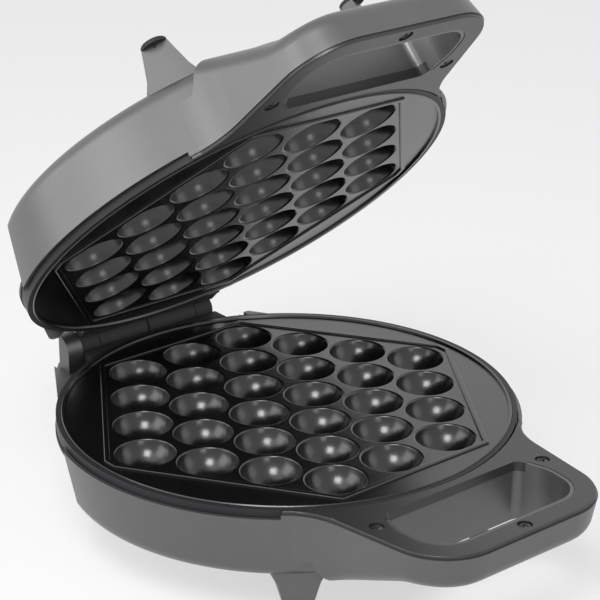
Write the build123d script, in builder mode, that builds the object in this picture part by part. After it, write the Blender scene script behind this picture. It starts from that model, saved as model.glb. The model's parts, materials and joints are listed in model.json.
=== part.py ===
"""Bubble waffle maker: two hinged halves with cupped plates, lid shown open.

Units are millimetres. Each half is drawn on its own plane: local z = 0 is the
face where the halves meet, local -z goes into the shell, local +Y goes to the
hinge and local -Y to the handle. The lid's plane is the base's plane turned
over and swung open about the hinge pin.
"""
import os
from math import cos, radians, sin, tan

from build123d import *

os.makedirs("parts", exist_ok=True)

# Placing
BENCH_TO_PARTING = 60.0
SHIFT_Y = 14.453
HINGE_Y = 113.8
LID_OPEN = 44.7
MEET_GAP = 0.3

# Shell
SHELL_R = 108.9
SHELL_WALL = 2.6
SHELL_DRAFT = 11.0
SHELL_EDGE = 9.0
BASE_DEPTH = 36.0
LID_DEPTH = 38.5
FLANK_ANGLE = 31.0
BASE_FLANK = 104.7
LID_FLANK = 103.4
GROOVE_R = 106.4
LEDGE_R = 101.5
LEDGE_TOP = -9.0
LEDGE_LOW = -12.0
FRONT_RIM = -2.0
SIDE_RIM = -4.3
REAR_RIM = -0.7
NOTCH_ANGLE = -49.5
COVER_HALF = 40.2
STEP_ANGLE = 67.5

# Handle
HANDLE_TIP = -161.0
HANDLE_DEPTH = 18.3
HANDLE_EDGE = 8.0
HANDLE_CORNER = (50.08, -161.0)
HANDLE_CORNER_R = 27.9
HANDLE_ROOT = (60.14, -92.38)
HANDLE_ROOT_R = 34.0
UNDERSIDE_R = 40.0
OPENING = [(-38.5, -110.8), (38.5, -110.8), (42.8, -125), (40.5, -148.2), (-40.5, -148.2), (-42.8, -125)]
LINER_WALL = 1.6
COVER_ROUND = 0.6
COVER_LOW = -3.5
COVER_EDGE_LOW = -4.6
COVER_SCREWS = [(-48, -117), (48, -117), (0, -154.3)]

# Hinge
BARREL_R = 6.0
PIN_R = 2.5
PIN_PLAY = 0.05
LONG_KNUCKLE = (0.4, 29.0)
SHORT_KNUCKLE = (29.4, 39.5)
TOWER_R = 8.6
TOWER_IN = 41.2
TOWER_OUT = 49.6
REAR_DECK = -9.0
HOUSING_REAR = 121.5
LID_REAR = 107.0
EAR_IN = 50.3
STRIP_HALF = 40.6
STRIP_LOW = -7.2
STRIP_SCREWS = [(-36, 103.6), (36, 103.6)]
BRACKET_SCREWS = [(-34.5, 113.8), (34.5, 113.8)]

# Plate
PLATE_R = 103.4
PLATE_FLAT = -1.3
PLATE_LOW = -4.5
CUP_R = 13.8
CUP_LIFT = 2.8
CUP_WALL = 2.1
CUP_PITCH = 32.0
CUP_ROW = 24.2
CUP_EDGE = 0.9
RIDGE_WIDE = 2.6
RIDGE_HIGH = 0.85
RING_R = 105.8
RIDGE = [(99.2, -3.8), (99.2, 3.8), (42.4, 89.6), (-42.4, 89.6), (-99.2, 3.8), (-99.2, -3.8), (-42.4, -89.6),
    (42.4, -89.6)]

# Feet
FEET = [(55, 75), (-55, 75), (55, -75), (-55, -75)]
FOOT_TIP_R = 6.25
FOOT_INSET = 2.6
PAD_R = 6.0
PAD_THICK = 2.0
STEM_R = 2.5
LID_TO_PAD = 59.2

# Heater
HEATER_R = 68.0
HEATER_TUBE_R = 3.5
SHIELD_Z = -25.0
SHIELD_POSTS = [(75, 45), (-75, 45), (75, -45), (-75, -45)]
THERMOSTAT_TOP = -15.0


def side(at: Plane, x: float = 0.0) -> Plane:
    """Upright plane across the half at local x, with axes (local y, local z)."""
    start = at.from_local_coords(Vector(x, 0, 0))
    return Plane(origin=start, x_dir=at.y_dir, z_dir=at.x_dir)


def section(at: Plane, x: float, y: float) -> Plane:
    """Upright plane through a local point, with axes (local x, local z)."""
    start = at.from_local_coords(Vector(x, y, 0))
    return Plane(origin=start, x_dir=at.x_dir, z_dir=at.y_dir * -1)


def polar(radius: float, angle: float) -> tuple:
    """Point at a radius and an angle in degrees."""
    return (radius * cos(radians(angle)), radius * sin(radians(angle)))


HOOK_ANGLES = [70, 110, 225, 315]
RING_SCREWS = [polar(98.2, angle) for angle in (0, 60, 120, 180, 240, 300)]

BASE = Plane(origin=(0, SHIFT_Y, BENCH_TO_PARTING))
OPEN = radians(LID_OPEN)
LID = Plane(
    origin=(
        0,
        SHIFT_Y + HINGE_Y - HINGE_Y * cos(OPEN),
        BENCH_TO_PARTING + HINGE_Y * sin(OPEN),
    ),
    x_dir=(-1, 0, 0),
    z_dir=(0, -sin(OPEN), -cos(OPEN)),
)
REAR_FACING = Plane(origin=BASE.from_local_coords(Vector(0, 102, 0)), x_dir=(1, 0, 0), z_dir=(0, -1, 0))


def cup_centres() -> list:
    """Centres of the thirty cups, in seven rows across the plate."""
    rows = [3, 4, 5, 6, 5, 4, 3]
    points = []
    for row, count in enumerate(rows):
        for column in range(count):
            x = (column - (count - 1) / 2) * CUP_PITCH
            points.append((x, (row - 3) * CUP_ROW))
    return points


def handle_plan(inset: float) -> Sketch:
    """Plan of the handle, from its tip to inside the round body."""
    with BuildSketch() as plan:
        with BuildLine():
            Polyline((0, HANDLE_TIP), HANDLE_CORNER, HANDLE_ROOT, (70.2, -82.7), (80, -69), (50, -58),
                (0, -58))
            mirror(about=Plane.YZ)
        make_face()
        corners = [v for v in plan.vertices() if abs(v.Y - HANDLE_TIP) < 0.1 and abs(v.X) > 20]
        fillet(corners, HANDLE_CORNER_R)
        roots = [v for v in plan.vertices() if abs(v.Y - HANDLE_ROOT[1]) < 0.1]
        fillet(roots, HANDLE_ROOT_R)
        if inset:
            offset(amount=-inset)
    return plan.sketch


def opening_plan(grow: float) -> Sketch:
    """Plan of the D-shaped finger opening, grown outward by a wall."""
    with BuildSketch() as plan:
        with BuildLine():
            Polyline(*OPENING, close=True)
        make_face()
        for place, bend in ((-110.8, 4), (-125, 20), (-148.2, 15)):
            fillet([v for v in plan.vertices() if abs(v.Y - place) < 0.01], bend)
        if grow:
            offset(amount=grow)
    return plan.sketch


def sector_plan(start: float, stop: float) -> Sketch:
    """Wedge about the body's centre from one angle to another."""
    points = [(0, 0), polar(200, start), polar(220, (start + stop) / 2), polar(200, stop)]
    with BuildSketch() as plan:
        with BuildLine():
            Polyline(*points, close=True)
        make_face()
    return plan.sketch


def cover_plan(inset: float) -> Sketch:
    """Plan of the handle cover, reaching round the plate between the notches."""
    with BuildSketch() as plan:
        Circle(SHELL_R)
        add(handle_plan(0.0))
        offset(amount=-inset)
        add(sector_plan(-90 - COVER_HALF, -90 + COVER_HALF), mode=Mode.INTERSECT)
        Circle(RING_R + 0.6, mode=Mode.SUBTRACT)
    return plan.sketch


def rear_plan(inset: float, near: float) -> Sketch:
    """Plan of the corners and housing behind the round body."""
    points = [(87, 62), (61.6, 101.6), (44.6, HOUSING_REAR), (0, HOUSING_REAR), (0, near), (50, near)]
    with BuildSketch() as plan:
        with BuildLine():
            Polyline(*points, close=True)
        make_face()
        mirror(about=Plane.YZ)
        fillet([v for v in plan.vertices() if abs(v.Y - HOUSING_REAR) < 0.1], 9)
        if inset:
            offset(amount=-inset)
    return plan.sketch


def turned(at: Plane, x: float, y: float, points: list) -> Part:
    """Turn a closed profile of (radius, height) points about a local upright."""
    where = section(at, x, y)
    with BuildPart() as form:
        with BuildSketch(where):
            with BuildLine():
                Polyline(*points, close=True)
            make_face()
        revolve(axis=Axis(where.origin, at.z_dir))
    return form.part


def flank_form(at: Plane, inset: float) -> Part:
    """Room outside the two straight flanks that run back to the housing."""
    lean = radians(SHELL_DRAFT)
    reach = (LID_FLANK if at is LID else BASE_FLANK) - inset
    with BuildPart() as form:
        for sign in (-1, 1):
            across = sign * cos(radians(FLANK_ANGLE))
            along = sin(radians(FLANK_ANGLE))
            start = at.from_local_coords(Vector(across * reach, along * reach, 0))
            flat = at.x_dir * across + at.y_dir * along
            with BuildSketch(Plane(origin=start, z_dir=flat * cos(lean) - at.z_dir * sin(lean))):
                Rectangle(300, 300)
            extrude(amount=60)
    return form.part


def body_form(at: Plane, depth: float) -> Part:
    """Outside of the round body, with its far edge rounded."""
    low_r = SHELL_R - depth * tan(radians(SHELL_DRAFT))
    with BuildPart() as form:
        with BuildSketch(section(at, 0, 0)) as profile:
            with BuildLine():
                Polyline((0, 0), (SHELL_R, 0), (low_r, -depth), (0, -depth), close=True)
            make_face()
            edge = [v for v in profile.vertices() if abs(v.X - low_r) < 0.01]
            fillet(edge, SHELL_EDGE)
        revolve(axis=Axis(at.origin, at.z_dir))
    return form.part


def handle_form(at: Plane, inset: float, lift: float, edge_r: float) -> Part:
    """Handle block: its plan drawn in as it goes down, cut to the sloping far side."""
    deep = LID_DEPTH if at is LID else BASE_DEPTH
    with BuildPart() as form:
        with BuildSketch(at):
            add(handle_plan(inset))
        with BuildSketch(at.offset(-40)):
            add(handle_plan(inset + 40 * tan(radians(SHELL_DRAFT))))
        loft(ruled=True)
        with BuildSketch(side(at)) as slope:
            with BuildLine():
                Polyline(
                    (-180, lift - HANDLE_DEPTH),
                    (-137, lift - HANDLE_DEPTH),
                    (-93, lift - deep + 0.4),
                    (-88, lift - 26),
                    (-50, lift - 26),
                    (-50, -60),
                    (-180, -60),
                    close=True,
                )
            make_face()
            fillet([v for v in slope.vertices() if abs(v.X + 137) < 0.1], UNDERSIDE_R)
        extrude(amount=90, both=True, mode=Mode.SUBTRACT)
        if edge_r:
            chosen = []
            for item in form.edges():
                middle = at.to_local_coords(item.center())
                ends = [at.to_local_coords(v.center()) for v in item.vertices()]
                low = middle.Z < -HANDLE_DEPTH + 2
                across = max(p.X for p in ends) - min(p.X for p in ends) > 90
                upright = max(p.Z for p in ends) - min(p.Z for p in ends) > 20
                if low and not upright and (not across or middle.Y < -150) and middle.Y < -94:
                    chosen.append(item)
            fillet(chosen, edge_r)
    return form.part


def opening_form(at: Plane, grow: float, top: float, low: float) -> Part:
    """D-shaped column of the finger opening, grown outward by a wall."""
    with BuildPart() as form:
        with BuildSketch(at.offset(top)):
            add(opening_plan(grow))
        extrude(amount=low - top)
    return form.part


def wedge(at: Plane, height: float, start: float, stop: float, up: float) -> Part:
    """Sector about the body's centre, drawn up from a height."""
    with BuildPart() as form:
        with BuildSketch(at.offset(height)):
            add(sector_plan(start, stop))
        extrude(amount=up)
    return form.part


def block(at: Plane, low: tuple, high: tuple) -> Part:
    """Plain block between two local corners."""
    with BuildPart() as form:
        with BuildSketch(at.offset(low[2])):
            with Locations(((low[0] + high[0]) / 2, (low[1] + high[1]) / 2)):
                Rectangle(high[0] - low[0], high[1] - low[1])
        extrude(amount=high[2] - low[2])
    return form.part


def bar(at: Plane, start: float, stop: float, radius: float) -> Part:
    """Round bar along the hinge axis between two local x positions."""
    with BuildPart() as form:
        with BuildSketch(side(at, start)):
            with Locations((HINGE_Y, 0)):
                Circle(radius)
        extrude(amount=stop - start)
    return form.part


def posts(at: Plane, places: list, radius: float, start: float, stop: float) -> Part:
    """Round posts at several places between two heights."""
    with BuildPart() as form:
        with BuildSketch(at.offset(start)):
            with Locations(*places):
                Circle(radius)
        extrude(amount=stop - start)
    return form.part


def foot_tip(depth: float) -> float:
    """Height of the end of a half's cast feet, where the pads begin."""
    return PAD_THICK - (BENCH_TO_PARTING if depth == BASE_DEPTH else LID_TO_PAD)


def foot_form(at: Plane, depth: float, x: float, y: float) -> Part:
    """One cast foot, trimmed to stand a little inside the line of the body's side."""
    tip = foot_tip(depth)
    profile = [
        (0, -depth + 16),
        (13.6, -depth + 16),
        (12.4, -depth - 0.4),
        (10.1, -depth - 5),
        (7.1, -depth - 15.5),
        (FOOT_TIP_R, tip),
        (STEM_R, tip),
        (STEM_R, tip + 5),
        (0, tip + 5),
    ]
    cone = turned(at, x, y, profile)
    reach = -tip + 4
    slope = tan(radians(SHELL_DRAFT))
    side_r = SHELL_R - FOOT_INSET
    trim = [(0, 0), (side_r, 0), (side_r - reach * slope, -reach), (0, -reach)]
    limit = turned(at, 0, 0, trim)
    with BuildPart() as form:
        add(cone)
        add(limit, mode=Mode.INTERSECT)
    return form.part


def cavity_form(at: Plane, depth: float) -> Part:
    """Room inside the round body, with the ledge that carries the plate ring."""
    slope = tan(radians(SHELL_DRAFT))
    middle_z = SHELL_EDGE - depth
    middle_r = SHELL_R + middle_z * slope - SHELL_EDGE / cos(radians(SHELL_DRAFT))
    points = [(0, LEDGE_LOW), (SHELL_R - SHELL_WALL + LEDGE_LOW * slope, LEDGE_LOW)]
    for angle in (-SHELL_DRAFT, -37, -63, -90):
        across, up = polar(SHELL_EDGE - SHELL_WALL, angle)
        points.append((middle_r + across, middle_z + up))
    points.append((0, SHELL_WALL - depth))
    seat = [(0, 4), (GROOVE_R, 4), (GROOVE_R, LEDGE_TOP), (LEDGE_R, LEDGE_TOP), (LEDGE_R, LEDGE_LOW),
        (0, LEDGE_LOW)]
    room = turned(at, 0, 0, points)
    top = turned(at, 0, 0, seat)
    with BuildPart() as ledge:
        add(top)
        with BuildSketch(at.offset(LEDGE_TOP)):
            Circle(150)
        extrude(amount=LEDGE_LOW - LEDGE_TOP, mode=Mode.INTERSECT)
        add(flank_form(at, SHELL_WALL), mode=Mode.SUBTRACT)
    with BuildPart() as form:
        add(room)
        add(flank_form(at, SHELL_WALL), mode=Mode.SUBTRACT)
        add(ledge.part)
        with BuildSketch(at.offset(LEDGE_TOP)):
            Circle(GROOVE_R)
        extrude(amount=4 - LEDGE_TOP)
    return form.part


def shell_form(at: Plane, depth: float) -> Part:
    """Cast shell of one half: body, handle, feet, rims and finger opening."""
    body = body_form(at, depth)
    grip = handle_form(at, 0.0, 0.0, HANDLE_EDGE)
    room = cavity_form(at, depth)
    grip_room = handle_form(at, SHELL_WALL, SHELL_WALL, 0.0)
    liner = opening_form(at, LINER_WALL, -0.5, -60)
    hole = opening_form(at, 0.0, 4, -70)
    far_side = handle_form(at, 0.0, 0.0, 0.0)
    slope = tan(radians(SHELL_DRAFT))
    feet = [foot_form(at, depth, x, y) for x, y in FEET]
    front = wedge(at, FRONT_RIM, -90 - 40.5, -90 + 40.5, 9)
    right = wedge(at, SIDE_RIM, NOTCH_ANGLE, STEP_ANGLE, 12)
    left = wedge(at, SIDE_RIM, 180 - STEP_ANGLE, 180 - NOTCH_ANGLE, 12)
    with BuildPart() as liner_kept:
        add(liner)
        add(far_side, mode=Mode.INTERSECT)
        with BuildSketch(at.offset(1)):
            with Locations((0, -105)):
                Rectangle(120, 20)
        extrude(amount=-5.7, mode=Mode.SUBTRACT)
    with BuildPart() as grip_hollow:
        add(grip_room)
        add(turned(at, 0, 0, [(0, 9), (SHELL_R, 9), (SHELL_R, 0), (SHELL_R - 45 * slope, -45), (0, -45)]),
            mode=Mode.SUBTRACT)
    with BuildPart() as bosses:
        with BuildSketch(at.offset(-3.7)):
            with Locations(*COVER_SCREWS):
                Circle(4.0)
        extrude(amount=-40)
        add(grip, mode=Mode.INTERSECT)
    with BuildPart() as rim_cut:
        add(body)
        add(far_side)
        add(front, mode=Mode.INTERSECT)
    with BuildPart() as shell:
        add(body)
        add(grip)
        for foot in feet:
            add(foot)
        add(flank_form(at, 0.0), mode=Mode.SUBTRACT)
        add(room, mode=Mode.SUBTRACT)
        add(grip_hollow.part, mode=Mode.SUBTRACT)
        add(rim_cut.part, mode=Mode.SUBTRACT)
        add(right, mode=Mode.SUBTRACT)
        add(left, mode=Mode.SUBTRACT)
        with BuildSketch(at.offset(REAR_RIM)):
            with Locations((0, 60)):
                Rectangle(260, 130)
        extrude(amount=9, mode=Mode.SUBTRACT)
        with BuildSketch(at.offset(-4.7)):
            add(cover_plan(SHELL_WALL + 0.15))
        extrude(amount=9, mode=Mode.SUBTRACT)
        add(bosses.part)
        add(liner_kept.part)
        add(hole, mode=Mode.SUBTRACT)
        with BuildSketch(at.offset(-3.6)):
            with Locations(*COVER_SCREWS):
                Circle(1.5)
        extrude(amount=-10, mode=Mode.SUBTRACT)
    return shell.part


def cover_form(at: Plane) -> Part:
    """Flat cover of the handle, with the finger opening cut through it."""
    with BuildPart() as form:
        with BuildSketch(at.offset(FRONT_RIM)):
            add(cover_plan(1.1))
        extrude(amount=-FRONT_RIM - MEET_GAP)
        top = form.faces().sort_by(Axis(at.origin, at.z_dir))[-1]
        fillet(top.edges(), COVER_ROUND)
        with BuildSketch(at.offset(FRONT_RIM)):
            add(cover_plan(SHELL_WALL + 0.3))
        extrude(amount=COVER_LOW - FRONT_RIM)
        with BuildSketch(at.offset(COVER_LOW)):
            with BuildLine():
                Polyline((-46, -107), (46, -107), (44, -113), (-44, -113), close=True)
            make_face()
        extrude(amount=COVER_EDGE_LOW - COVER_LOW)
        add(opening_form(at, LINER_WALL + 0.15, 4, -20), mode=Mode.SUBTRACT)
        with BuildSketch(at.offset(COVER_EDGE_LOW)):
            add(opening_plan(LINER_WALL + 0.9))
            with Locations((0, -105)):
                Rectangle(120, 20, mode=Mode.INTERSECT)
        extrude(amount=-MEET_GAP - COVER_EDGE_LOW)
        add(opening_form(at, 0.0, 4, -20), mode=Mode.SUBTRACT)
        add(posts(at, COVER_SCREWS, 3.3, -1.9, 2), mode=Mode.SUBTRACT)
        add(posts(at, COVER_SCREWS, 1.7, -9, 2), mode=Mode.SUBTRACT)
    return form.part


def cover_screws_form(at: Plane) -> Part:
    """Three round-headed screws that hold the handle cover down."""
    head = [(0, -0.9), (0.9, -0.9), (0.9, -0.5), (2.1, -0.5), (3.0, -1.1), (3.0, -1.9), (1.5, -1.9),
        (1.5, -11), (0, -11)]
    heads = [turned(at, x, y, head) for x, y in COVER_SCREWS]
    with BuildPart() as form:
        for item in heads:
            add(item)
    return form.part


def plate_form(at: Plane) -> Part:
    """Cast plate with thirty round cups, their backs, a lip and a bead."""
    disc = [
        (0, PLATE_LOW),
        (0, PLATE_FLAT),
        (101.6, PLATE_FLAT),
        (101.9, -MEET_GAP),
        (PLATE_R - 0.4, -MEET_GAP),
        (PLATE_R, -MEET_GAP - 0.4),
        (PLATE_R, PLATE_LOW),
    ]
    centre = PLATE_FLAT + CUP_LIFT
    blank = turned(at, 0, 0, disc)
    with BuildPart() as backs:
        with Locations(*[at.from_local_coords(Vector(x, y, centre)) for x, y in cup_centres()]):
            Sphere(CUP_R + CUP_WALL)
        with BuildSketch(at.offset(PLATE_LOW + 0.5)):
            Circle(150)
        extrude(amount=60, mode=Mode.SUBTRACT)
    with BuildPart() as form:
        add(blank)
        add(backs.part)
        add(posts(at, SHIELD_POSTS, 3.5, PLATE_LOW + 0.5, SHIELD_Z))
        add(posts(at, [(0, 0)], 5.0, PLATE_LOW + 0.5, THERMOSTAT_TOP))
        with Locations(*[at.from_local_coords(Vector(x, y, centre)) for x, y in cup_centres()]):
            Sphere(CUP_R, mode=Mode.SUBTRACT)
        rims = []
        for item in form.edges().filter_by(GeomType.CIRCLE):
            if abs(at.to_local_coords(item.center()).Z - PLATE_FLAT) < 0.01 and item.radius < 20:
                rims.append(item)
        fillet(rims, CUP_EDGE)
    with BuildPart() as bead:
        with BuildSketch(at.offset(PLATE_FLAT - 0.2)):
            with BuildLine():
                Polyline(*RIDGE, close=True)
            make_face()
            with BuildLine():
                Polyline(*RIDGE, close=True)
                offset(amount=-RIDGE_WIDE)
            make_face(mode=Mode.SUBTRACT)
        extrude(amount=RIDGE_HIGH + 0.2)
        crown = bead.faces().sort_by(Axis(at.origin, at.z_dir))[-1]
        fillet(crown.edges(), 0.6)
    with BuildPart() as plate:
        add(form.part)
        add(bead.part)
        add(posts(at, SHIELD_POSTS, 1.35, SHIELD_Z - 1, SHIELD_Z + 9), mode=Mode.SUBTRACT)
        add(posts(at, RING_SCREWS, 1.35, -6, -2.9), mode=Mode.SUBTRACT)
    return plate.part


def plate_ring_form(at: Plane) -> Part:
    """Ring that carries the plate's edge and sits on the shell's ledge."""
    points = [
        (PLATE_R + 0.15, -0.8),
        (RING_R, -0.8),
        (RING_R, -7.4),
        (RING_R + 0.4, -7.4),
        (RING_R + 0.4, LEDGE_TOP),
        (95.5, LEDGE_TOP),
        (95.5, PLATE_LOW),
        (PLATE_R + 0.15, PLATE_LOW),
    ]
    hook = [(99.4, -8), (101.3, -8), (101.3, LEDGE_LOW - 0.1), (103.0, LEDGE_LOW - 0.1), (101.3, -14.5),
        (99.4, -14.5)]
    ring = turned(at, 0, 0, points)
    hooks = turned(at, 0, 0, hook)
    with BuildPart() as catches:
        add(hooks)
        with BuildSketch(at.offset(-20)):
            for angle in HOOK_ANGLES:
                add(sector_plan(angle - 4, angle + 4))
        extrude(amount=20, mode=Mode.INTERSECT)
    with BuildPart() as form:
        add(ring)
        add(catches.part)
        add(posts(at, RING_SCREWS, 1.7, -20, 0), mode=Mode.SUBTRACT)
    return form.part


def heater_form(at: Plane) -> Part:
    """Tubular heating element lying against the backs of the cups."""
    level = PLATE_FLAT + CUP_LIFT - CUP_R - CUP_WALL - HEATER_TUBE_R
    with BuildPart() as form:
        with BuildLine(at.offset(level)) as path:
            CenterArc((0, 0), HEATER_R, 110, 320)
        with BuildSketch(Plane(origin=path.line @ 0, z_dir=path.line % 0)):
            Circle(HEATER_TUBE_R)
        sweep()
        with BuildSketch(at.offset(level)):
            with Locations(polar(HEATER_R, 109), polar(HEATER_R, 71)):
                Circle(1.6)
        extrude(amount=-6)
    return form.part


def shield_form(at: Plane) -> Part:
    """Shallow tin pan that keeps the heater's heat off the shell."""
    pan = turned(at, 0, 0, [(0, SHIELD_Z), (92, SHIELD_Z), (92, -21), (92.8, -21), (92.8, SHIELD_Z - 0.8),
        (0, SHIELD_Z - 0.8)])
    ends = [polar(HEATER_R, 109), polar(HEATER_R, 71)]
    with BuildPart() as form:
        add(pan)
        add(posts(at, SHIELD_POSTS, 1.7, -40, 0), mode=Mode.SUBTRACT)
        add(posts(at, ends, 4.0, -40, 0), mode=Mode.SUBTRACT)
        add(posts(at, [(0, 0)], 11.0, -40, 0), mode=Mode.SUBTRACT)
    return form.part


def shield_screws_form(at: Plane) -> Part:
    """Four screws holding the heat shield to the posts of the plate."""
    low = SHIELD_Z - 0.8
    head = [(0, low - 1.8), (2.0, low - 1.8), (2.8, low - 1.0), (2.8, low), (1.35, low), (1.35, low + 7),
        (0, low + 7)]
    heads = [turned(at, x, y, head) for x, y in SHIELD_POSTS]
    with BuildPart() as form:
        for item in heads:
            add(item)
    return form.part


def thermostat_form(at: Plane) -> Part:
    """Snap disc thermostat against the plate's middle boss, with two tabs."""
    top = THERMOSTAT_TOP
    profile = [(0, top), (9.5, top), (9.5, top - 1.2), (8, top - 1.2), (8, top - 9), (0, top - 9)]
    can = turned(at, 0, 0, profile)
    with BuildPart() as form:
        add(can)
        with BuildSketch(at.offset(top - 9)):
            with Locations((-4.5, 0), (4.5, 0)):
                Rectangle(0.8, 6.3)
        extrude(amount=-5)
    return form.part


def foot_pads_form(at: Plane, depth: float) -> Part:
    """Four rubber pads, each pressed into the tip of a foot by its stem."""
    tip = foot_tip(depth)
    pad = [(0, tip - PAD_THICK), (PAD_R - 0.6, tip - PAD_THICK), (PAD_R, tip - PAD_THICK + 0.6), (PAD_R, tip),
        (STEM_R, tip), (STEM_R, tip + 4.5), (0, tip + 4.5)]
    pads = [turned(at, x, y, pad) for x, y in FEET]
    with BuildPart() as form:
        for item in pads:
            add(item)
    return form.part


def ring_screws_form(at: Plane) -> Part:
    """Six screws up through the ring's flange into the plate."""
    head = [(0, -10.6), (1.8, -10.6), (2.6, -10.0), (2.6, -9.0), (1.35, -9.0), (1.35, -3.0), (0, -3.0)]
    heads = [turned(at, x, y, head) for x, y in RING_SCREWS]
    with BuildPart() as form:
        for item in heads:
            add(item)
    return form.part


def export(builder: BuildPart, name: str) -> None:
    """Name a finished piece and write its STEP file."""
    builder.part.label = name
    export_step(builder.part, f"parts/{name}.step")


base_blank = shell_form(BASE, BASE_DEPTH)
lid_blank = shell_form(LID, LID_DEPTH)

with BuildPart() as housing:
    with BuildSketch(BASE.offset(REAR_RIM)):
        add(rear_plan(0.0, 70))
    extrude(amount=-BASE_DEPTH - REAR_RIM)
    low_edges = []
    for item in housing.edges():
        place = BASE.to_local_coords(item.center())
        if abs(place.Z + BASE_DEPTH) < 0.01 and place.Y > 90:
            low_edges.append(item)
    fillet(low_edges, 6)
    add(flank_form(BASE, 0.0), mode=Mode.SUBTRACT)

with BuildPart() as housing_room:
    with BuildSketch(BASE.offset(LEDGE_LOW)):
        add(rear_plan(SHELL_WALL, 66))
    extrude(amount=-BASE_DEPTH + SHELL_WALL - LEDGE_LOW)
    add(flank_form(BASE, SHELL_WALL), mode=Mode.SUBTRACT)

with BuildPart() as tower:
    with BuildSketch(side(BASE, -TOWER_OUT)):
        with Locations((HINGE_Y, 0)):
            Circle(TOWER_R)
        with BuildLine():
            Polyline((105.2, 0), (HINGE_Y + TOWER_R, 0), (HINGE_Y + TOWER_R, -14), (105.2, -14), close=True)
        make_face()
    extrude(amount=TOWER_OUT - TOWER_IN)
    with BuildSketch(BASE.offset(-20)):
        add(rear_plan(1.5, 90))
    extrude(amount=40, mode=Mode.INTERSECT)

with BuildPart() as base_shell:
    add(base_blank)
    add(housing.part)
    add(cavity_form(BASE, BASE_DEPTH), mode=Mode.SUBTRACT)
    add(housing_room.part, mode=Mode.SUBTRACT)
    add(block(BASE, (-56, 88, REAR_DECK), (56, 130, 10)), mode=Mode.SUBTRACT)
    add(block(BASE, (-70, 108.4, REAR_DECK), (70, 130, 10)), mode=Mode.SUBTRACT)
    add(block(BASE, (50, 103.5, -7), (90, 130, 10)), mode=Mode.SUBTRACT)
    add(block(BASE, (-90, 60, SIDE_RIM), (90, 130, 10)), mode=Mode.SUBTRACT)
    add(tower.part)
    add(bar(BASE, -TOWER_IN - 5, -TOWER_IN + 5, PIN_R), mode=Mode.SUBTRACT)
    add(posts(BASE, BRACKET_SCREWS, 1.6, -14, 0), mode=Mode.SUBTRACT)
    add(block(BASE, (14, 110, -29), (36, 130, -15)), mode=Mode.SUBTRACT)
export(base_shell, "base_shell")

with BuildPart() as ears:
    with BuildSketch(LID.offset(SIDE_RIM)):
        add(rear_plan(2.0, 70))
        with Locations((0, 100)):
            Rectangle(2 * EAR_IN, 80, mode=Mode.SUBTRACT)
        with Locations((0, LID_REAR + 20)):
            Rectangle(200, 40, mode=Mode.SUBTRACT)
    extrude(amount=-22)
    add(turned(LID, 0, 0, [(0, 0), (122, 0), (104.5, -30), (0, -30)]), mode=Mode.INTERSECT)
    add(flank_form(LID, 0.0), mode=Mode.SUBTRACT)

with BuildPart() as lid_shell:
    add(lid_blank)
    add(ears.part)
    add(cavity_form(LID, LID_DEPTH), mode=Mode.SUBTRACT)
    add(block(LID, (-STRIP_HALF - 0.4, 95, STRIP_LOW), (STRIP_HALF + 0.4, 130, 10)), mode=Mode.SUBTRACT)
    for x in (-36.0, 36.0):
        add(block(LID, (x - 4.5, 99.5, -15), (x + 4.5, 107.2, STRIP_LOW)))
    add(turned(LID, 0, 0, [(0, 0), (GROOVE_R, 0), (GROOVE_R, -9), (0, -9)]), mode=Mode.SUBTRACT)
    add(posts(LID, STRIP_SCREWS, 1.35, -13, 0), mode=Mode.SUBTRACT)
export(lid_shell, "lid_shell")

with BuildPart() as base_cover:
    add(cover_form(BASE))
export(base_cover, "base_cover")

with BuildPart() as lid_cover:
    add(cover_form(LID))
export(lid_cover, "lid_cover")

with BuildPart() as base_cover_screws:
    add(cover_screws_form(BASE))
export(base_cover_screws, "base_cover_screws")

with BuildPart() as lid_cover_screws:
    add(cover_screws_form(LID))
export(lid_cover_screws, "lid_cover_screws")

with BuildPart() as base_plate:
    add(plate_form(BASE))
export(base_plate, "base_plate")

with BuildPart() as lid_plate:
    add(plate_form(LID))
export(lid_plate, "lid_plate")

with BuildPart() as base_plate_ring:
    add(plate_ring_form(BASE))
export(base_plate_ring, "base_plate_ring")

with BuildPart() as lid_plate_ring:
    add(plate_ring_form(LID))
export(lid_plate_ring, "lid_plate_ring")

with BuildPart() as base_ring_screws:
    add(ring_screws_form(BASE))
export(base_ring_screws, "base_ring_screws")

with BuildPart() as lid_ring_screws:
    add(ring_screws_form(LID))
export(lid_ring_screws, "lid_ring_screws")

with BuildPart() as base_heater:
    add(heater_form(BASE))
export(base_heater, "base_heater")

with BuildPart() as lid_heater:
    add(heater_form(LID))
export(lid_heater, "lid_heater")

with BuildPart() as base_heat_shield:
    add(shield_form(BASE))
export(base_heat_shield, "base_heat_shield")

with BuildPart() as lid_heat_shield:
    add(shield_form(LID))
export(lid_heat_shield, "lid_heat_shield")

with BuildPart() as base_shield_screws:
    add(shield_screws_form(BASE))
export(base_shield_screws, "base_shield_screws")

with BuildPart() as lid_shield_screws:
    add(shield_screws_form(LID))
export(lid_shield_screws, "lid_shield_screws")

with BuildPart() as base_thermostat:
    add(thermostat_form(BASE))
export(base_thermostat, "base_thermostat")

with BuildPart() as lid_thermostat:
    add(thermostat_form(LID))
export(lid_thermostat, "lid_thermostat")

with BuildPart() as base_foot_pads:
    add(foot_pads_form(BASE, BASE_DEPTH))
export(base_foot_pads, "base_foot_pads")

with BuildPart() as lid_foot_pads:
    add(foot_pads_form(LID, LID_DEPTH))
export(lid_foot_pads, "lid_foot_pads")

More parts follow.
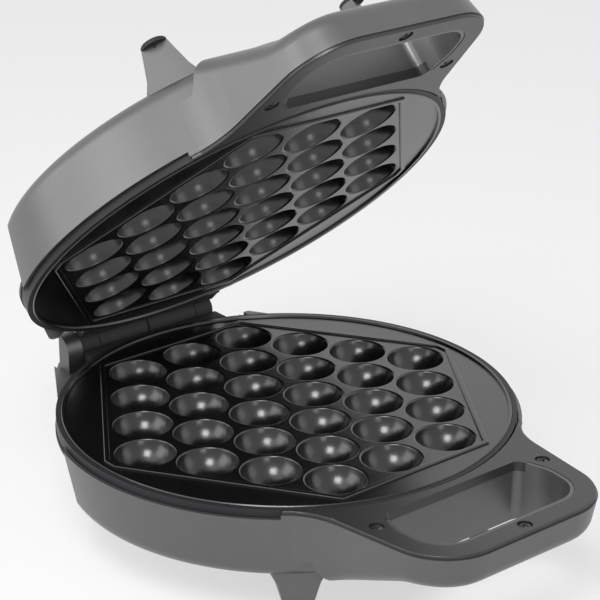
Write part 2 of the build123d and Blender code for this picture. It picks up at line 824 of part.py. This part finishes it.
with BuildPart() as hinge_bracket:
    with BuildSketch(BASE.offset(REAR_DECK)):
        with Locations((0, 110.2)):
            Rectangle(2 * STRIP_HALF, 20.6)
        Circle(GROOVE_R, mode=Mode.SUBTRACT)
    extrude(amount=2.4)
    with BuildSketch(BASE.offset(REAR_DECK)):
        with Locations((0, 97.3)):
            Rectangle(2 * STRIP_HALF, 20)
        Circle(GROOVE_R, mode=Mode.SUBTRACT)
    extrude(amount=-REAR_DECK - 0.8)
    for x in (-SHORT_KNUCKLE[1], SHORT_KNUCKLE[0]):
        wide = SHORT_KNUCKLE[1] - SHORT_KNUCKLE[0]
        add(block(BASE, (x, HINGE_Y - BARREL_R, REAR_DECK), (x + wide, HINGE_Y + BARREL_R, 0)))
        add(bar(BASE, x, x + wide, BARREL_R))
    add(bar(BASE, -60, 60, PIN_R), mode=Mode.SUBTRACT)
    add(posts(BASE, BRACKET_SCREWS, 1.35, -12, -3.3), mode=Mode.SUBTRACT)
export(hinge_bracket, "hinge_bracket")

with BuildPart() as lid_hinge_arms:
    with BuildSketch(LID.offset(STRIP_LOW)):
        with Locations((0, 97.2)):
            Rectangle(2 * STRIP_HALF, 20)
        Circle(RING_R + 0.35, mode=Mode.SUBTRACT)
    extrude(amount=-STRIP_LOW - 0.7)
    for x in (-LONG_KNUCKLE[1], LONG_KNUCKLE[0]):
        wide = LONG_KNUCKLE[1] - LONG_KNUCKLE[0]
        add(block(LID, (x, 106.4, -BARREL_R), (x + wide, HINGE_Y, -0.7)))
        add(bar(LID, x, x + wide, BARREL_R))
    add(bar(LID, -60, 60, PIN_R + PIN_PLAY), mode=Mode.SUBTRACT)
    add(posts(LID, STRIP_SCREWS, 1.6, -20, 0), mode=Mode.SUBTRACT)
    add(posts(LID, STRIP_SCREWS, 2.9, -2.9, 0), mode=Mode.SUBTRACT)
export(lid_hinge_arms, "lid_hinge_arms")

with BuildPart() as hinge_pin:
    add(bar(BASE, -TOWER_IN - 4.8, SHORT_KNUCKLE[1], PIN_R))
export(hinge_pin, "hinge_pin")

bracket_screw = [(0, -13.8), (2.2, -13.8), (3.0, -13.0), (3.0, -12), (1.35, -12), (1.35, -3.5), (0, -3.5)]
strip_screw = [(0, -0.9), (0.8, -0.9), (0.8, -1.3), (2.7, -1.3), (2.7, -2.9), (1.35, -2.9), (1.35, -12.5),
    (0, -12.5)]

with BuildPart() as hinge_bracket_screws:
    add([turned(BASE, x, y, bracket_screw) for x, y in BRACKET_SCREWS])
export(hinge_bracket_screws, "hinge_bracket_screws")

with BuildPart() as lid_arm_screws:
    add([turned(LID, x, y, strip_screw) for x, y in STRIP_SCREWS])
export(lid_arm_screws, "lid_arm_screws")

with BuildPart() as terminal_block:
    add(block(BASE, (-18, 100, -BASE_DEPTH + SHELL_WALL), (12, 112, -22)))
    add(posts(BASE, [(-13, 106), (-3, 106), (7, 106)], 2.2, -26, -20), mode=Mode.SUBTRACT)
export(terminal_block, "terminal_block")

with BuildPart() as inlet_pins:
    with BuildSketch(REAR_FACING):
        with Locations((21.5, -22), (28.5, -22)):
            Circle(1.3)
    extrude(amount=-17)
export(inlet_pins, "inlet_pins")

with BuildPart() as power_inlet:
    add(block(BASE, (14, 106, -29), (36, HOUSING_REAR, -15)))
    add(block(BASE, (11.5, HOUSING_REAR, -31), (38.5, HOUSING_REAR + 1.5, -13)))
    add(block(BASE, (17, 110, -26), (33, 130, -18)), mode=Mode.SUBTRACT)
    add(inlet_pins.part, mode=Mode.SUBTRACT)
export(power_inlet, "power_inlet")
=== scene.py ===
"""Bubble waffle maker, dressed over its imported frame.

The solids come from the frame. This script gives each of them its finish, puts
cross-headed screws in the handle covers, and sets the studio.
"""
from __future__ import annotations

import json
import logging
import math
from dataclasses import dataclass
from enum import Enum

import bmesh
import bpy
from mathutils import Matrix, Vector

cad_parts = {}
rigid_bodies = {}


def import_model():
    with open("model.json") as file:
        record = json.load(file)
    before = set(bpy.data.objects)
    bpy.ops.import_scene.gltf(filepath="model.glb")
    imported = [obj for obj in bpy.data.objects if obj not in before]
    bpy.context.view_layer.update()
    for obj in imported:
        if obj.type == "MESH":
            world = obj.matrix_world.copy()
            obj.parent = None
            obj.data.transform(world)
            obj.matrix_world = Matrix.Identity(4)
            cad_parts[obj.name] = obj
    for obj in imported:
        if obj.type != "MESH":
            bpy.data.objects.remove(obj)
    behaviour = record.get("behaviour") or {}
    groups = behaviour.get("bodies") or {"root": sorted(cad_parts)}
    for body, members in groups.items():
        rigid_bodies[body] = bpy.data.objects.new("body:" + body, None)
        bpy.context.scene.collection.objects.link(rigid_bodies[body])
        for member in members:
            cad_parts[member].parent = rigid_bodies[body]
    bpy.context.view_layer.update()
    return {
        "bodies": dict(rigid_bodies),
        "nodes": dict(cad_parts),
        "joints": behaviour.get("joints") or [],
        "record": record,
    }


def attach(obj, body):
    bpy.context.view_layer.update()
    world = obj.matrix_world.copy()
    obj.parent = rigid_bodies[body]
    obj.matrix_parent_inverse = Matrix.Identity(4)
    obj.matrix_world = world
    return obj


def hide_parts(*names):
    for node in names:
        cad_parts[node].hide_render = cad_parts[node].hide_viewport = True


LOG = logging.getLogger("waffle_maker")
MM = 0.001
HINGE_TO_MIDDLE = 113.8 * MM
LID_OPEN = math.radians(44.7)
SMOOTH_BELOW = math.radians(38)


class Grain(Enum):
    """The fine surface that a finish shows up close."""

    BRUSHED = "brushed"
    COATED = "coated"
    MOULDED = "moulded"
    TURNED = "turned"


class Half(Enum):
    """The two halves of the maker."""

    BASE = "base"
    LID = "lid"


class Value:
    """A shader socket that can be used in Python sums."""

    def __init__(self, graph: Graph, socket: bpy.types.NodeSocket) -> None:
        """Keep the socket and the graph that new nodes go into."""
        self.graph = graph
        self.socket = socket

    def _sum(self, operation: str, first: object, second: object) -> Value:
        """Add one Math node.

        Args:
            operation: The Math node's operation.
            first: Number or Value for the first input.
            second: Number or Value for the second input.

        Returns:
            The node's output.
        """
        node = self.graph.node("ShaderNodeMath", {"operation": operation}, {0: first, 1: second})
        return Value(self.graph, node.outputs[0])

    def __add__(self, other: object) -> Value:
        """Sum."""
        return self._sum("ADD", self, other)

    def __radd__(self, other: object) -> Value:
        """Sum, with the number first."""
        return self._sum("ADD", other, self)

    def __sub__(self, other: object) -> Value:
        """Difference."""
        return self._sum("SUBTRACT", self, other)

    def __rsub__(self, other: object) -> Value:
        """Difference, with the number first."""
        return self._sum("SUBTRACT", other, self)

    def __mul__(self, other: object) -> Value:
        """Product."""
        return self._sum("MULTIPLY", self, other)

    def __rmul__(self, other: object) -> Value:
        """Product, with the number first."""
        return self._sum("MULTIPLY", other, self)

    def most(self, other: object) -> Value:
        """The larger of this and another."""
        return self._sum("MAXIMUM", self, other)

    def least(self, other: object) -> Value:
        """The smaller of this and another."""
        return self._sum("MINIMUM", self, other)


class Graph:
    """The nodes of one material or of the world."""

    def __init__(self, tree: bpy.types.NodeTree) -> None:
        """Keep the node tree."""
        self.tree = tree

    @classmethod
    def of_material(cls, material: bpy.types.Material) -> Graph:
        """Nodes of a material, with its Principled shader."""
        material.use_nodes = True
        return cls(material.node_tree)

    @property
    def shader(self) -> bpy.types.Node:
        """The Principled shader."""
        return self.tree.nodes["Principled BSDF"]

    def node(self, kind: str, settings: dict[str, object], sockets: dict[object, object]) -> bpy.types.Node:
        """Add a node.

        Args:
            kind: The node's type.
            settings: Properties that are set first.
            sockets: Values or links for inputs, by name or number.

        Returns:
            The new node.
        """
        node = self.tree.nodes.new(kind)
        for key, value in settings.items():
            setattr(node, key, value)
        for key, value in sockets.items():
            self.feed(node.inputs[key], value)
        return node

    def feed(self, socket: bpy.types.NodeSocket, value: object) -> None:
        """Link or set one input.

        Args:
            socket: The input.
            value: A Value or socket to link, or what to set.
        """
        if isinstance(value, Value):
            self.tree.links.new(value.socket, socket)
        elif isinstance(value, bpy.types.NodeSocket):
            self.tree.links.new(value, socket)
        else:
            socket.default_value = value

    def value(self, node: bpy.types.Node, output: object = 0) -> Value:
        """Wrap one output of a node."""
        return Value(self, node.outputs[output])

    def background_rays(self) -> Value:
        """One where the camera, a reflection or clear glass looks, otherwise zero."""
        path = self.node("ShaderNodeLightPath", {}, {})
        seen = self.value(path, "Is Camera Ray").most(self.value(path, "Is Glossy Ray"))
        return seen.most(self.value(path, "Is Transmission Ray"))


@dataclass(frozen=True)
class Noise:
    """One noise over a surface.

    Attributes:
        stretch: Scale along each axis.
        scale: The noise's scale, per metre.
        detail: The noise's detail.
    """

    stretch: tuple[float, float, float]
    scale: float
    detail: float

    def over(self, graph: Graph, place: bpy.types.NodeSocket) -> Value:
        """Lay the noise over the surface.

        Args:
            graph: The material's nodes.
            place: Where the surface is.

        Returns:
            The noise, from 0 to 1.
        """
        moved = graph.node("ShaderNodeMapping", {}, {"Vector": place, "Scale": self.stretch})
        sockets = {"Vector": moved.outputs[0], "Scale": self.scale, "Detail": self.detail, "Roughness": 0.6}
        return graph.value(graph.node("ShaderNodeTexNoise", {}, sockets))


EVEN = (1.0, 1.0, 1.0)
BLOTCHES = Noise(EVEN, 14.0, 3.0)
STREAKS = Noise((0.12, 0.12, 1.6), 900.0, 4.0)
SPECKS = Noise(EVEN, 1500.0, 2.0)
GRAIN_NOISE: dict[Grain, Noise] = {
    Grain.COATED: Noise(EVEN, 1100.0, 3.0),
    Grain.MOULDED: Noise(EVEN, 1800.0, 2.0),
    Grain.TURNED: Noise((1.0, 1.0, 0.1), 1600.0, 3.0),
}


@dataclass(frozen=True)
class Finish:
    """One surface finish.

    Attributes:
        name: The material's name.
        colour: Base colour, linear.
        rough: Mean roughness.
        metal: Metallic.
        coat: Clear coat weight.
        coat_rough: Clear coat roughness.
        level: Specular level.
        grain: The fine surface.
        shade: How much the base colour varies.
        bump: How strongly the fine surface stands out.
        tilt: Turn about X, in radians, that lays the grain along a leaning half.
        bump_deep: Depth of the fine surface, in metres.
    """

    name: str
    colour: tuple[float, float, float]
    rough: float
    metal: float = 0.0
    coat: float = 0.0
    coat_rough: float = 0.1
    level: float = 0.5
    grain: Grain = Grain.COATED
    shade: float = 0.05
    bump: float = 0.1
    tilt: float = 0.0
    bump_deep: float = 0.0003

    def material(self) -> bpy.types.Material:
        """Build the material, or give back the one already built."""
        if self.name in bpy.data.materials:
            return bpy.data.materials[self.name]
        material = bpy.data.materials.new(self.name)
        graph = Graph.of_material(material)
        self._set_fixed(graph.shader)
        where = graph.node("ShaderNodeTexCoord", {}, {}).outputs["Object"]
        turned = graph.node("ShaderNodeVectorRotate", {"rotation_type": "X_AXIS"},
                            {"Vector": where, "Angle": self.tilt})
        place = turned.outputs[0]
        broad = BLOTCHES.over(graph, place)
        fine = self._fine(graph, place)
        self._feed_varying(graph, broad, fine)
        return material

    def _set_fixed(self, shader: bpy.types.Node) -> None:
        """Set what is the same all over the surface."""
        shader.inputs["Metallic"].default_value = self.metal
        shader.inputs["Coat Weight"].default_value = self.coat
        shader.inputs["Coat Roughness"].default_value = self.coat_rough
        shader.inputs["Specular IOR Level"].default_value = self.level

    def _feed_varying(self, graph: Graph, broad: Value, fine: Value) -> None:
        """Feed colour, roughness and the fine surface.

        Args:
            graph: The material's nodes.
            broad: Slow changes over the surface.
            fine: The fine surface.
        """
        mask = (broad - 0.5) * 0.9 + (fine - 0.5) * 0.7 + 0.5
        low = tuple(part * (1 - self.shade * 2) for part in self.colour) + (1,)
        high = tuple(min(1.0, part * (1 + self.shade * 2)) for part in self.colour) + (1,)
        colour = graph.node("ShaderNodeMix", {"data_type": "RGBA"}, {0: mask, 6: low, 7: high})
        graph.feed(graph.shader.inputs["Base Color"], colour.outputs[2])
        rough = ((broad - 0.5) * 0.12 + (fine - 0.5) * 0.1 + self.rough).most(0.04).least(1.0)
        graph.feed(graph.shader.inputs["Roughness"], rough)
        bump = graph.node("ShaderNodeBump", {},
                          {"Strength": self.bump, "Distance": self.bump_deep, "Height": fine})
        graph.feed(graph.shader.inputs["Normal"], bump.outputs[0])

    def _fine(self, graph: Graph, place: bpy.types.NodeSocket) -> Value:
        """Lay this finish's grain.

        Args:
            graph: The material's nodes.
            place: Where the surface is.

        Returns:
            The fine surface, from 0 to 1.
        """
        if self.grain is Grain.BRUSHED:
            streaks = STREAKS.over(graph, place)
            specks = SPECKS.over(graph, place)
            return streaks * 0.6 + specks * 0.4
        return GRAIN_NOISE[self.grain].over(graph, place)


SHELL_COLOUR = (0.125, 0.125, 0.128)
SHELL = Finish("silver_paint", SHELL_COLOUR, 0.37, 0.70, grain=Grain.BRUSHED, shade=0.09, bump=0.22)
LID_SHELL = Finish("silver_paint_lid", SHELL_COLOUR, 0.37, 0.70, grain=Grain.BRUSHED, shade=0.09, bump=0.22,
                   tilt=LID_OPEN)
COVER = Finish("black_cover", (0.020, 0.020, 0.022), 0.34, grain=Grain.MOULDED, shade=0.06, bump=0.12)
COAT = Finish("non_stick_coat", (0.004, 0.004, 0.0043), 0.235, coat=0.2, coat_rough=0.20, level=0.55,
              grain=Grain.COATED, shade=0.12, bump=0.16)
RING = Finish("ring_grey", (0.022, 0.022, 0.024), 0.46, level=0.2, grain=Grain.COATED, shade=0.06, bump=0.12)
HINGE = Finish("hinge_black", (0.018, 0.018, 0.019), 0.40, grain=Grain.MOULDED, shade=0.06, bump=0.15)
RUBBER = Finish("foot_rubber", (0.012, 0.012, 0.012), 0.75, grain=Grain.MOULDED, shade=0.1, bump=0.25)
STEEL = Finish("plain_steel", (0.48, 0.48, 0.49), 0.32, 1.0, grain=Grain.TURNED, bump=0.1)
DARK_STEEL = Finish("dark_zinc", (0.10, 0.10, 0.105), 0.36, 0.9, grain=Grain.TURNED, bump=0.1)
SHEET = Finish("bright_sheet", (0.72, 0.72, 0.73), 0.28, 1.0, grain=Grain.BRUSHED, bump=0.1)
TUBE = Finish("heater_tube", (0.20, 0.19, 0.18), 0.45, 0.9, grain=Grain.COATED, bump=0.15)
CERAMIC = Finish("cream_ceramic", (0.70, 0.65, 0.54), 0.55, grain=Grain.COATED, shade=0.05, bump=0.2)
BRASS = Finish("contact_brass", (0.72, 0.50, 0.20), 0.3, 1.0, grain=Grain.TURNED, bump=0.1)

NODE_FINISH: dict[str, Finish] = {
    "base_shell": SHELL, "lid_shell": LID_SHELL,
    "base_cover": COVER, "lid_cover": COVER,
    "base_plate": COAT, "lid_plate": COAT,
    "base_plate_ring": RING, "lid_plate_ring": RING,
    "base_heater": TUBE, "lid_heater": TUBE,
    "base_heat_shield": SHEET, "lid_heat_shield": SHEET,
    "base_cover_screws": DARK_STEEL, "lid_cover_screws": DARK_STEEL,
    "base_ring_screws": STEEL, "lid_ring_screws": STEEL,
    "base_shield_screws": STEEL, "lid_shield_screws": STEEL,
    "base_foot_pads": RUBBER, "lid_foot_pads": RUBBER,
    "hinge_bracket": HINGE, "lid_hinge_arms": HINGE,
    "hinge_pin": STEEL, "hinge_bracket_screws": STEEL, "lid_arm_screws": DARK_STEEL,
    "base_thermostat": SHEET, "lid_thermostat": SHEET,
    "terminal_block": CERAMIC, "power_inlet": HINGE, "inlet_pins": BRASS,
}


@dataclass(frozen=True)
class HalfFrame:
    """Where one half is drawn from.

    Attributes:
        half: Which half this is.
        matrix: From the half's own axes to the part's. Local z = 0 is the face
            where the halves meet, and local -z goes into the shell.
    """

    half: Half
    matrix: Matrix

    @classmethod
    def of(cls, half: Half, hinge: Vector) -> HalfFrame:
        """Place a half from the hinge.

        Args:
            half: Which half.
            hinge: A point on the hinge axis, at the part's middle.

        Returns:
            The half's frame.
        """
        if half is Half.BASE:
            return cls(half, Matrix.Translation(hinge - Vector((0, HINGE_TO_MIDDLE, 0))))
        turned = Matrix.Rotation(-LID_OPEN, 4, "X") @ Matrix.Translation((0, -HINGE_TO_MIDDLE, 0))
        return cls(half, Matrix.Translation(hinge) @ turned @ Matrix.Rotation(math.pi, 4, "Y"))

    def at(self, x: float, y: float, z: float) -> Vector:
        """A point given in millimetres on the half's own axes."""
        return self.matrix @ Vector((x * MM, y * MM, z * MM))


@dataclass
class CarriedSolids:
    """The solids of the frame, each given its finish.

    Attributes:
        nodes: The frame's objects, by name.
    """

    nodes: dict[str, bpy.types.Object]

    def dress(self) -> None:
        """Put each solid's finish on its material slots."""
        for name, solid in sorted(self.nodes.items()):
            finish = NODE_FINISH[name]
            material = finish.material()
            for slot in solid.material_slots:
                slot.material = material
            LOG.info("%s dressed as %s", name, finish.name)


@dataclass
class CoverScrews:
    """The three cross-headed screws of one handle cover, in millimetres.

    Attributes:
        places: Where the screws stand on the half.
        head_radius: Radius of the head.
        head_low: Height of the head's underside.
        crown: Height of the middle of the head, over the cross.
        dome: How far the head's face falls from its middle to its edge.
        shank_radius: Radius of the shank.
        shank_low: Height of the shank's end.
        chamfer: Length of the shank's tapered end.
        arm_half: Half the width of one arm of the cross.
        arm_reach: How far an arm reaches from the middle.
        cross_deep: How deep the cross goes.
        cross_rise: Share of that depth lost at the end of an arm.
        rings: Rings of faces over the head.
        parts: Faces round the head.
    """

    places: tuple[tuple[float, float], ...] = ((-48, -117), (48, -117), (0, -154.3))
    head_radius: float = 2.98
    head_low: float = -1.9
    crown: float = -0.52
    dome: float = 0.62
    shank_radius: float = 1.48
    shank_low: float = -10.9
    chamfer: float = 0.8
    arm_half: float = 0.42
    arm_reach: float = 1.75
    cross_deep: float = 0.95
    cross_rise: float = 0.45
    rings: int = 20
    parts: int = 72

    def build(self, frame: HalfFrame) -> bpy.types.Object:
        """Make the screws of one half in place of its plain solids.

        Args:
            frame: The half that carries them.

        Returns:
            The screws as one mesh.
        """
        mesh = bmesh.new()
        for x, y in self.places:
            self._screw(mesh, frame, x, y)
        bmesh.ops.recalc_face_normals(mesh, faces=mesh.faces)
        half = frame.half.value
        name = f"{half}_cross_screws"
        data = bpy.data.meshes.new(name)
        mesh.to_mesh(data)
        mesh.free()
        for face in data.polygons:
            face.use_smooth = True
        data.set_sharp_from_angle(angle=SMOOTH_BELOW)
        data.materials.append(DARK_STEEL.material())
        screws = bpy.data.objects.new(name, data)
        bpy.context.scene.collection.objects.link(screws)
        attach(screws, half)
        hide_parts(f"{half}_cover_screws")
        LOG.info("%s built, %d faces", name, len(data.polygons))
        return screws

    def _height(self, radius: float, angle: float) -> float:
        """Height of the head's face, with the cross sunk into its dome.

        Args:
            radius: How far from the screw's middle.
            angle: Which way, in radians.

        Returns:
            The height in millimetres.
        """
        level = self.crown - self.dome * (radius / self.head_radius) ** 2
        across, along = abs(radius * math.cos(angle)), abs(radius * math.sin(angle))
        if min(across, along) >= self.arm_half or max(across, along) >= self.arm_reach:
            return level
        return level - self.cross_deep * (1.0 - self.cross_rise * max(across, along) / self.arm_reach)

    def _loop(self, mesh: bmesh.types.BMesh, frame: HalfFrame, x: float, y: float,
              radius: float, level: float | None) -> list[bmesh.types.BMVert]:
        """Add one round of points about a screw.

        Args:
            mesh: The mesh that is being built.
            frame: The half that carries the screw.
            x: The screw's place across.
            y: The screw's place along.
            radius: The round's radius.
            level: Its height, or None to follow the head's face.

        Returns:
            The points in order.
        """
        turn = 0.3 + 0.02 * x
        loop = []
        for part in range(self.parts):
            angle = math.tau * part / self.parts
            height = self._height(radius, angle) if level is None else level
            loop.append(mesh.verts.new(frame.at(x + radius * math.cos(angle + turn),
                                                y + radius * math.sin(angle + turn), height)))
        return loop

    def _screw(self, mesh: bmesh.types.BMesh, frame: HalfFrame, x: float, y: float) -> None:
        """Add one screw, its cross turned a little from its neighbours'.

        Args:
            mesh: The mesh that is being built.
            frame: The half that carries the screw.
            x: The screw's place across.
            y: The screw's place along.
        """
        centre = mesh.verts.new(frame.at(x, y, self._height(0.0, 0.0)))
        rounds = [(self.head_radius * ring / self.rings, None) for ring in range(1, self.rings + 1)]
        rounds += [
            (self.head_radius, self.head_low),
            (self.shank_radius, self.head_low),
            (self.shank_radius, self.shank_low + self.chamfer),
            (self.shank_radius * 0.5, self.shank_low),
        ]
        loops = [self._loop(mesh, frame, x, y, radius, level) for radius, level in rounds]
        for part in range(self.parts):
            mesh.faces.new((centre, loops[0][part], loops[0][(part + 1) % self.parts]))
        for low, high in zip(loops, loops[1:]):
            for part in range(self.parts):
                after = (part + 1) % self.parts
                mesh.faces.new((low[part], high[part], high[after], low[after]))
        mesh.faces.new(list(reversed(loops[-1])))


@dataclass(frozen=True)
class Panel:
    """One soft light, a square that faces the plate's middle.

    Attributes:
        name: The light's name.
        place: Where it stands, in metres.
        size: Length of its side.
        power: Its power in watts.
    """

    name: str
    place: tuple[float, float, float]
    size: float
    power: float

    def hang(self, middle: Vector) -> None:
        """Put the light up and turn it to the plate's middle."""
        data = bpy.data.lights.new(self.name, "AREA")
        data.shape = "SQUARE"
        data.size = self.size
        data.energy = self.power
        light = bpy.data.objects.new(self.name, data)
        bpy.context.scene.collection.objects.link(light)
        light.visible_camera = False
        light.location = self.place
        light.rotation_mode = "QUATERNION"
        light.rotation_quaternion = (middle - Vector(self.place)).to_track_quat("-Z", "Y")


PANELS = (
    Panel("key_panel", (-0.66, -0.55, 1.09), 0.50, 10.5),
    Panel("left_panel", (-1.12, 0.40, 0.66), 0.75, 5.0),
    Panel("top_panel", (-0.75, 0.05, 1.25), 0.9, 2.5),
    Panel("back_left_panel", (-0.98, 1.10, 0.27), 0.5, 2.0),
    Panel("front_panel", (-0.55, -1.25, 0.22), 0.4, 2.0),
    Panel("right_panel", (1.15, -0.95, 0.70), 0.9, 2.0),
)


@dataclass
class Studio:
    """Floor, soft lights, background and camera.

    Attributes:
        azimuth: The camera's azimuth in degrees.
        elevation: The camera's elevation in degrees.
        distance: From the camera to the plate's middle, along the view.
        right: Shift of the camera to its right.
        up: Shift of the camera upward.
        lens: Focal length on a 36 mm sensor.
        pale: Grey of the room on its pale side.
        dark: Grey of the room on its dark side.
        dark_way: Which way the room's dark side lies.
        floor_half: Half the floor's side.
        floor_white: How far the floor goes to white as background.
    """

    azimuth: float = -39.53
    elevation: float = 22.41
    distance: float = 0.9955
    right: float = 0.00614
    up: float = 0.04618
    lens: float = 129.8
    pale: float = 0.52
    dark: float = 0.20
    dark_way: tuple[float, float, float] = (0.80, 0.55, -0.25)
    floor_half: float = 6.0
    floor_white: float = 0.6

    def build(self, middle: Vector) -> None:
        """Make the whole studio round the plate's middle."""
        self._world()
        self._floor()
        for panel in PANELS:
            panel.hang(middle)
        self._camera(middle)
        bpy.context.scene.view_settings.view_transform = "Standard"
        LOG.info("studio ready")

    def _world(self) -> None:
        """A plain grey room, white where it is seen as background."""
        world = bpy.data.worlds.new("surround")
        world.use_nodes = True
        bpy.context.scene.world = world
        graph = Graph(world.node_tree)
        where = graph.node("ShaderNodeTexCoord", {}, {}).outputs["Generated"]
        along = graph.node("ShaderNodeVectorMath", {"operation": "DOT_PRODUCT"}, {0: where, 1: self.dark_way})
        room = graph.node("ShaderNodeMapRange", {}, {
            "Value": along.outputs["Value"], "From Min": -0.7, "From Max": 0.8,
            "To Min": self.pale, "To Max": self.dark,
        })
        colour = graph.node("ShaderNodeMix", {"data_type": "RGBA"},
                            {0: graph.background_rays(), 6: room.outputs["Result"], 7: (1, 1, 1, 1)})
        graph.feed(graph.tree.nodes["Background"].inputs["Color"], colour.outputs[2])

    def _floor(self) -> None:
        """A wide pale floor that keeps the shadow."""
        mesh = bpy.data.meshes.new("floor")
        side = self.floor_half
        mesh.from_pydata([(-side, -side, 0), (side, -side, 0), (side, side, 0), (-side, side, 0)], [], [(0, 1, 2, 3)])
        floor = bpy.data.objects.new("floor", mesh)
        bpy.context.scene.collection.objects.link(floor)
        material = bpy.data.materials.new("pale_floor")
        graph = Graph.of_material(material)
        graph.shader.inputs["Base Color"].default_value = (0.86, 0.86, 0.86, 1)
        graph.shader.inputs["Roughness"].default_value = 0.9
        graph.shader.inputs["Specular IOR Level"].default_value = 0.1
        white = graph.node("ShaderNodeEmission", {}, {"Color": (1, 1, 1, 1), "Strength": 1.0})
        seen = graph.background_rays() * self.floor_white
        mix = graph.node("ShaderNodeMixShader", {}, {0: seen, 1: graph.shader.outputs[0], 2: white.outputs[0]})
        graph.feed(graph.tree.nodes["Material Output"].inputs["Surface"], mix.outputs[0])
        mesh.materials.append(material)

    def _camera(self, middle: Vector) -> None:
        """The photograph's camera, set from the plate's middle."""
        turn, rise = math.radians(self.azimuth), math.radians(self.elevation)
        back = Vector((math.sin(turn) * math.cos(rise), -math.cos(turn) * math.cos(rise), math.sin(rise)))
        right = Vector((math.cos(turn), math.sin(turn), 0))
        up = back.cross(right)
        data = bpy.data.cameras.new("camera")
        data.lens = self.lens
        data.sensor_width = 36.0
        data.sensor_fit = "HORIZONTAL"
        data.clip_start, data.clip_end = 0.01, 50.0
        camera = bpy.data.objects.new("camera", data)
        bpy.context.scene.collection.objects.link(camera)
        camera.location = middle + back * self.distance + right * self.right + up * self.up
        camera.rotation_mode = "QUATERNION"
        camera.rotation_quaternion = (-back).to_track_quat("-Z", "Y")
        bpy.context.scene.camera = camera


def main() -> None:
    """Build every piece in order."""
    logging.basicConfig(level=logging.INFO, format="%(message)s")
    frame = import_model()
    hinge = Vector(frame["joints"][0]["pos_m"])
    base = HalfFrame.of(Half.BASE, hinge)
    lid = HalfFrame.of(Half.LID, hinge)
    CarriedSolids(frame["nodes"]).dress()
    for half in (base, lid):
        CoverScrews().build(half)
    Studio().build(base.at(0, 0, 0))


if __name__ == "__main__":
    main()
